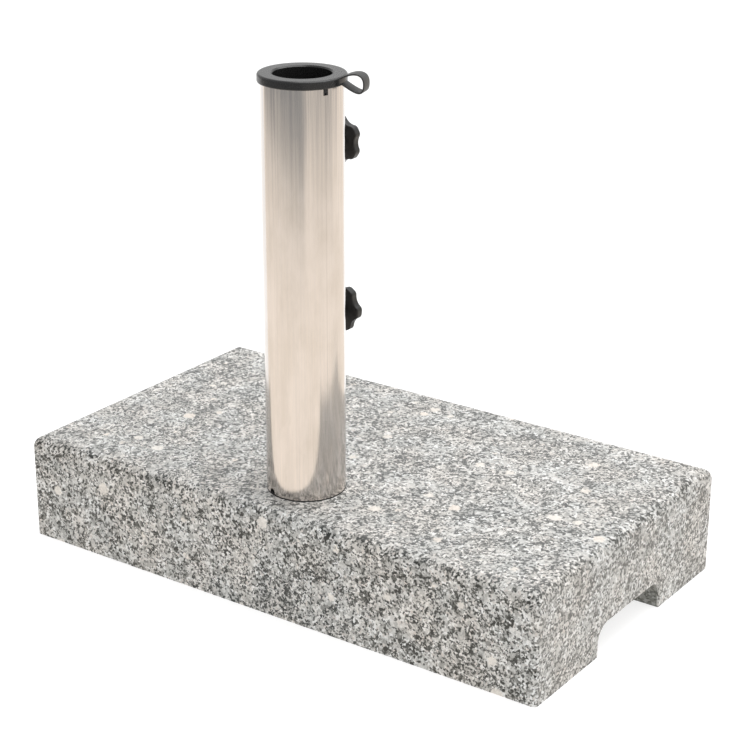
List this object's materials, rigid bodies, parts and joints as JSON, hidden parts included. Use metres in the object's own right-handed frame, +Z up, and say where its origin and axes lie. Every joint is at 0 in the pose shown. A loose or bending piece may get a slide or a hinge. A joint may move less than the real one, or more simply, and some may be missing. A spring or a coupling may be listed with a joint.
{
  "type": "parasol base",
  "caption": "Rectangular granite slab with finger grips under its short ends and an upright polished steel tube with a plastic reducer, a tether strap and clamping star knobs.",
  "frame": {"origin": "centre of the slab's underside, on the ground", "axes": "+X along the slab's long side, +Y from the tube towards the slab's free half and the knobs, +Z up along the tube"},
  "size_m": [0.45, 0.25, 0.3867],
  "materials": {
    "granite": "light grey speckled granite, honed",
    "polished_steel": "mirror-polished stainless steel tube with fine lengthwise streaks",
    "zinc_steel": "bright zinc-plated steel",
    "black_plastic": "satin black moulded plastic",
    "strap_plastic": "soft dark grey plastic",
    "knob_plastic": "matt black moulded plastic",
    "tip_plastic": "natural nylon",
    "gasket_rubber": "black rubber"
  },
  "bodies": {
    "base": {"granite_slab": "granite", "foot_gasket": "gasket_rubber", "tube": "polished_steel", "foot_disc": "zinc_steel", "foot_nut": "zinc_steel", "base_bolt": "zinc_steel", "base_washer": "zinc_steel", "spring_washer": "zinc_steel", "upper_nut": "zinc_steel", "lower_nut": "zinc_steel"},
    "collar": {"sleeve": "black_plastic", "strap": "strap_plastic"},
    "reducer": {"reducer": "black_plastic"},
    "upper_tip": {"upper_tip": "tip_plastic"},
    "upper_screw": {"upper_stud": "zinc_steel", "upper_knob": "knob_plastic"},
    "lower_tip": {"lower_tip": "tip_plastic"},
    "lower_screw": {"lower_stud": "zinc_steel", "lower_knob": "knob_plastic"}
  },
  "joints": [
    {"name": "collar_lift", "type": "slide", "parent": "base", "child": "collar", "axis": [0, 0, 1], "range_m": [0, 0.04]},
    {"name": "reducer_lift", "type": "slide", "parent": "collar", "child": "reducer", "axis": [0, 0, 1], "range_m": [0, 0.028], "deforming": ["strap"]},
    {"name": "upper_tip_slide", "type": "slide", "parent": "base", "child": "upper_tip", "axis": [0, -1, 0], "range_m": [-0.00581, 0.00271]},
    {"name": "upper_knob_turn", "type": "hinge", "parent": "upper_tip", "child": "upper_screw", "pos_m": [0, -0.075, 0.3293], "axis": [0, -1, 0], "range_deg": [-1670.4, 777.6]},
    {"name": "lower_tip_slide", "type": "slide", "parent": "base", "child": "lower_tip", "axis": [0, -1, 0], "range_m": [-0.00501, 0.00351]},
    {"name": "lower_knob_turn", "type": "hinge", "parent": "lower_tip", "child": "lower_screw", "pos_m": [0, -0.075, 0.2068], "axis": [0, -1, 0], "range_deg": [-1440, 1008]}
  ],
  "couplings": [
    {"joint": "upper_tip_slide", "follows": "upper_knob_turn", "m_per_rad": 0.00019894},
    {"joint": "lower_tip_slide", "follows": "lower_knob_turn", "m_per_rad": 0.00019894}
  ]
}
